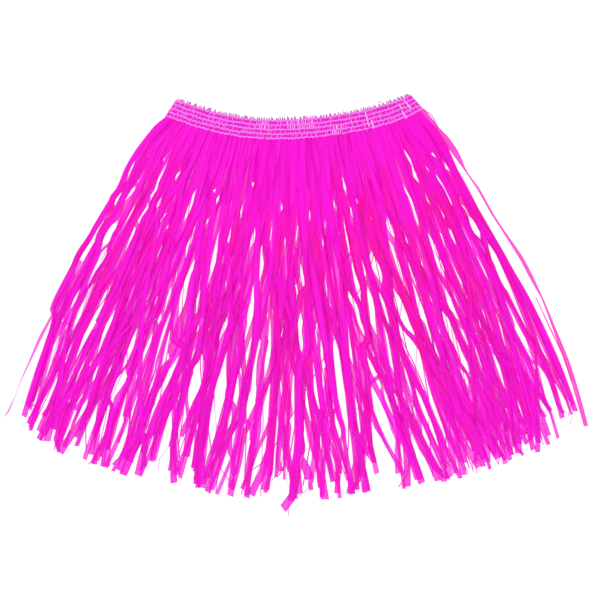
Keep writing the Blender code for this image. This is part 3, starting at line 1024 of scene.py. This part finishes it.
def pleat_relief(share, height):
    """How far the cloth stands over the inside of its wall, and how near it is to the ridge of a pleat."""
    wander = sum(wave_height(wave, share, height) for wave in PLEAT_WANDER)
    ridge = np.abs(np.sin(share * PLEATS * math.pi + wander)) ** RIDGE_ROUNDNESS
    swell = 1 - PLEAT_SWELL.size + wave_height(PLEAT_SWELL, share, height)
    puff = pinch(height) ** PUFF_ROUNDNESS * (VALLEY + (1 - VALLEY) * ridge) * swell
    return WALL_AT_THREAD + (WALL_ON_GATHER - WALL_AT_THREAD) * puff, ridge


def cloth_level(relief, front):
    """Height of the outside of the ring: of its upper face in front, and of its lower face behind."""
    return FRONT_LEVEL + relief if front else BACK_CLEAR + (WALL_ON_GATHER - relief)


def surface_level(share, height, front):
    """The same height, at places on the waistband."""
    relief, _ = pleat_relief(share, height)
    return cloth_level(relief, front)


def side_fold(end, beside, plan, level):
    """A side edge of the cloth, carried round by a quarter turn to the middle of the ring's thickness."""
    tip, inner = band_point(np.array([end, beside]), 0.0)
    outward = (tip - inner) / np.linalg.norm(tip - inner)
    turn = np.linspace(0, math.pi / 2, SIDE_FOLD_STEPS + 1)[1:, None]
    reach = np.sin(turn)[..., None] * SIDE_FOLD_RADIUS * outward
    return plan + reach, MID_LEVEL + (level - MID_LEVEL) * np.cos(turn)


def make_cloth(name, node, material, front):
    """Half of the ring: its pleated outside, with both side edges folded round."""
    share = np.linspace(SIDE_FOLD_INSET, 1 - SIDE_FOLD_INSET, PLEATS * STEPS_A_PLEAT + 1)
    height = np.linspace(CLOTH_BOTTOM, CLOTH_TOP, CLOTH_ROWS)
    shares, heights = np.meshgrid(share, height, indexing="ij")
    relief, ridge = pleat_relief(shares, heights)
    plan, level = band_point(shares, heights), cloth_level(relief, front)
    # The tone is painted shade and light: lighter on the ridges of the pleats, darker in their valleys and
    # where the rows of thread pinch them
    tone = ridge * (SHADED_TONE_AT_THREAD + (1 - SHADED_TONE_AT_THREAD) * pinch(heights))
    left_plan, left_level = side_fold(share[0], share[1], plan[0], level[0])
    right_plan, right_level = side_fold(share[-1], share[-2], plan[-1], level[-1])
    plan = np.concatenate([left_plan[::-1], plan, right_plan])
    level = np.concatenate([left_level[::-1], level, right_level])
    tone = np.pad(tone, ((SIDE_FOLD_STEPS, SIDE_FOLD_STEPS), (0, 0)), mode="edge")

    rows, columns = level.shape
    faces = grid_faces(rows, columns) if front else grid_faces(rows, columns)[:, ::-1]
    u, v = np.meshgrid(np.linspace(0, 1, rows), np.linspace(0, 1, columns), indexing="ij")
    maps = {
        "film": np.stack([u * BAND_SPAN, v * BAND_HEIGHT], axis=-1) * MM,
        "OFBake": np.stack([u, v], axis=-1),
    }
    points = np.concatenate([plan, level[..., None]], axis=-1)
    piece = mesh_piece(name, material, points, faces, maps, {"tone": tone})
    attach(piece, BODY)
    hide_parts(node)
    return piece


def thread_line(shares, heights, level, radii):
    """One thread: its points in millimetres, from places on the waistband, and its radius at each."""
    points = np.concatenate([band_point(shares, heights), level[:, None]], axis=-1)
    return points, np.broadcast_to(radii, len(points))


def thread_piece(name, lines, material):
    """Threads as one curve."""
    curve = bpy.data.curves.new(name, "CURVE")
    curve.dimensions = "3D"
    curve.bevel_depth = 1.0
    curve.bevel_resolution = 1
    curve.use_fill_caps = True
    for points, radii in lines:
        spline = curve.splines.new("POLY")
        spline.points.add(len(points) - 1)
        for target, point, radius in zip(spline.points, points, radii):
            target.co = (*(c * MM for c in point), 1.0)
            target.radius = radius * MM
        spline.use_smooth = True
    piece = new_piece(name, curve, material)
    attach(piece, BODY)
    return piece


def row_height(row):
    """Height of a row of elastic over the lower edge of the band."""
    return LOWEST_ROW + row * ROW_PITCH


TOP_ROW_HEIGHT = row_height(THREAD_ROWS - 1)


def elastic_rows(front, random):
    """Rows of thread that ride over the gathers, each with a bead where it grips a pleat."""
    lines = []
    for row in range(THREAD_ROWS):
        inset = random.uniform(0.0, SIDE_FOLD_INSET)
        share = np.linspace(inset, 1 - inset, GATHERS * POINTS_A_GATHER + 1)
        pleats = share * PLEATS * FULL_TURN
        wander = smooth_noise(random, share, ROW_WANDER_WAVES, ROW_WANDER)
        height = row_height(row) + ROW_WOBBLE * np.sin(pleats / 2 + row * ROW_WOBBLE_SHIFT) + wander
        level = surface_level(share, np.full_like(share, row_height(row)), front)
        stands_out = THREAD_RADIUS * THREAD_SINKS + ROW_BOB * np.sin(pleats / 2 + row)
        if front:
            level = level + stands_out
        else:
            level = np.maximum(level - stands_out, THREAD_RADIUS * THREAD_FATTEST + THREAD_CLEAR)
        radii = THREAD_RADIUS * (1 + THREAD_SWELLS * np.sin(pleats))
        lines.append(thread_line(share, height, level, radii))
    return lines


def links_between_rows(random):
    """Threads that cross from row to row, in some of the valleys between pleats."""
    lines = []
    for row in range(THREAD_ROWS - 1):
        for pleat in range(1, PLEATS):
            share = (pleat + random.uniform(-LINK_SHIFT, LINK_SHIFT)) / PLEATS
            bold = any(b.start < share < b.end and b.low_row <= row <= b.high_row for b in BOLD_LINKS)
            if not bold and random.random() > LINKS_KEPT:
                continue
            shares = np.linspace(share, share + random.normal(0, LINK_LEAN), LINK_STEPS)
            heights = np.linspace(row_height(row) + LINK_INSET, row_height(row + 1) - LINK_INSET, LINK_STEPS)
            radius = (BOLD_LINK_RADIUS if bold else LINK_RADIUS) * random.uniform(*LINK_RADIUS_VARIES)
            level = surface_level(shares, heights, True) + LINK_RISE
            lines.append(thread_line(shares, heights, level, radius))
    return lines


def join_stitches():
    """Lines of stitches across the band, where the ring is closed and its ends lie over each other."""
    lines = []
    for join in JOINS:
        heights = np.linspace(join.low, join.high, STITCH_STEPS)
        shares = join.share + STITCH_SWAY * np.sin(heights * STITCH_SWAY_TURNS)
        level = surface_level(shares, heights, True) + STITCH_RISE
        radii = STITCH_RADIUS * (1 + STITCH_SWELLS * np.sin(heights * STITCH_SWELL_TURNS))
        lines.append(thread_line(shares, heights, level, radii))
    return lines


def fold_loops(front, random):
    """The folded ends of the ribbons, which stand over the top row as small upright loops."""
    lines = []
    turn = np.linspace(0, math.pi, LOOP_STEPS + 1)
    for gather in range(GATHERS):
        share = (gather + (0.5 if front else 0.0) + random.uniform(-LOOP_SHIFT, LOOP_SHIFT)) / GATHERS
        if not LOOP_INSET < share < 1 - LOOP_INSET:
            continue
        tall = random.uniform(*LOOP_HEIGHT)
        half = random.uniform(*LOOP_HALF_WIDTH)
        lean = random.normal(0, LOOP_LEAN)
        heights = TOP_ROW_HEIGHT + tall * np.sin(turn) ** LOOP_ROUNDNESS
        shares = share + (-half * np.cos(turn) + lean * np.sin(turn)) / BAND_SPAN
        level = FRONT_LEVEL + WALL_AT_THREAD if front else BACK_LOOP_LEVEL
        level = np.maximum(level + LOOP_TURN * np.cos(turn) * random.choice([-1, 1]), LOWEST_LOOP_LEVEL)
        lines.append(thread_line(shares, heights, level, random.uniform(*LOOP_RADIUS)))
    return lines


def stray_loop():
    """A pulled thread that stands clear of the top row near the join, with knots in it."""
    turn = np.linspace(0, math.pi, STRAY_STEPS + 1)
    shares = STRAY_SHARE - STRAY_REACH * np.cos(turn)
    heights = TOP_ROW_HEIGHT + STRAY_HEIGHT * np.sin(turn) ** STRAY_ROUNDNESS
    knots = np.maximum(np.cos(KNOT_TURNS * turn), 0) ** KNOT_SHARPNESS
    radii = STRAY_RADIUS + KNOT_RADIUS * knots * np.sin(turn)
    return [thread_line(shares, heights, np.full_like(turn, STRAY_LEVEL), radii)]


def make_waistband():
    """Both halves of the ring, and what is sewn to each of them."""
    cloth = shirred_raffia("polypropylene_raffia_gathered")
    pale = covered_thread("covered_elastic_thread", "ff92ff", "f268f2")
    white = covered_thread("undyed_elastic_thread", "ffe2ff", "fab4fa")
    dusky = covered_thread("raffia_fold_edges", "e284d6", "a05a98")
    random = np.random.default_rng(BAND_SEED)
    front = make_cloth("waistband_front_cloth", "waistband_front", cloth, True)
    back = make_cloth("waistband_back_cloth", "waistband_back", cloth, False)
    on_front = [
        thread_piece("elastic_rows_front", elastic_rows(True, random), pale),
        thread_piece("elastic_links_front", links_between_rows(random), white),
        thread_piece("join_stitches", join_stitches(), white),
        thread_piece("fold_loops_front", fold_loops(True, random), dusky),
        thread_piece("stray_loop", stray_loop(), dusky),
    ]
    on_back = [
        thread_piece("elastic_rows_back", elastic_rows(False, random), pale),
        thread_piece("fold_loops_back", fold_loops(False, random), dusky),
    ]
    return front, back, on_front, on_back


def make_skirt():
    """The layers of fringe from the lowest up, then the waistband, and what is sewn to what."""
    film = raffia_film("polypropylene_raffia_film")
    slits, covered = slit_cells(), np.zeros((len(ALONG), ACROSS_CELLS))
    fringes = [make_fringe(level, layer, film, slits, covered) for level, layer in enumerate(LAYERS)]
    front, back, on_front, on_back = make_waistband()
    on_back += fringes[:2]
    on_front += fringes[2:]


def make_lamp(lamp):
    """A square lamp that faces the middle of the skirt."""
    light = bpy.data.lights.new(lamp.name, "AREA")
    light.size = LAMP_SIZE
    light.energy = lamp.power
    holder = bpy.data.objects.new(lamp.name, light)
    bpy.context.scene.collection.objects.link(holder)
    holder.location = lamp.place
    x, y, z = lamp.place
    holder.rotation_euler = (math.atan2(math.hypot(x, y), z), 0, math.atan2(-y, -x) - math.pi / 2)


def make_studio():
    """The light table that the skirt lies on, white light all round, two windows and a camera above."""
    bpy.ops.mesh.primitive_plane_add(size=FLOOR_SIZE, location=(0, 0, 0))
    floor = bpy.context.object
    floor.name = "studio_floor"
    floor.data.materials.append(lit_acrylic("opal_acrylic_lit_from_below"))

    scene = bpy.context.scene
    scene.view_settings.view_transform = "Standard"
    scene.world = bpy.data.worlds.new("studio_white")
    scene.world.use_nodes = True
    sky = scene.world.node_tree.nodes["Background"]
    sky.inputs["Color"].default_value = srgb("ffffff")
    sky.inputs["Strength"].default_value = SKY_STRENGTH
    for lamp in LAMPS:
        make_lamp(lamp)

    camera_data = bpy.data.cameras.new("camera")
    camera_data.sensor_width = SENSOR
    camera_data.lens = SENSOR * VIEW_FROM / VIEW_SPAN
    camera = bpy.data.objects.new("camera", camera_data)
    scene.collection.objects.link(camera)
    camera.location = (*AIM, VIEW_FROM)
    scene.camera = camera


make_skirt()
make_studio()
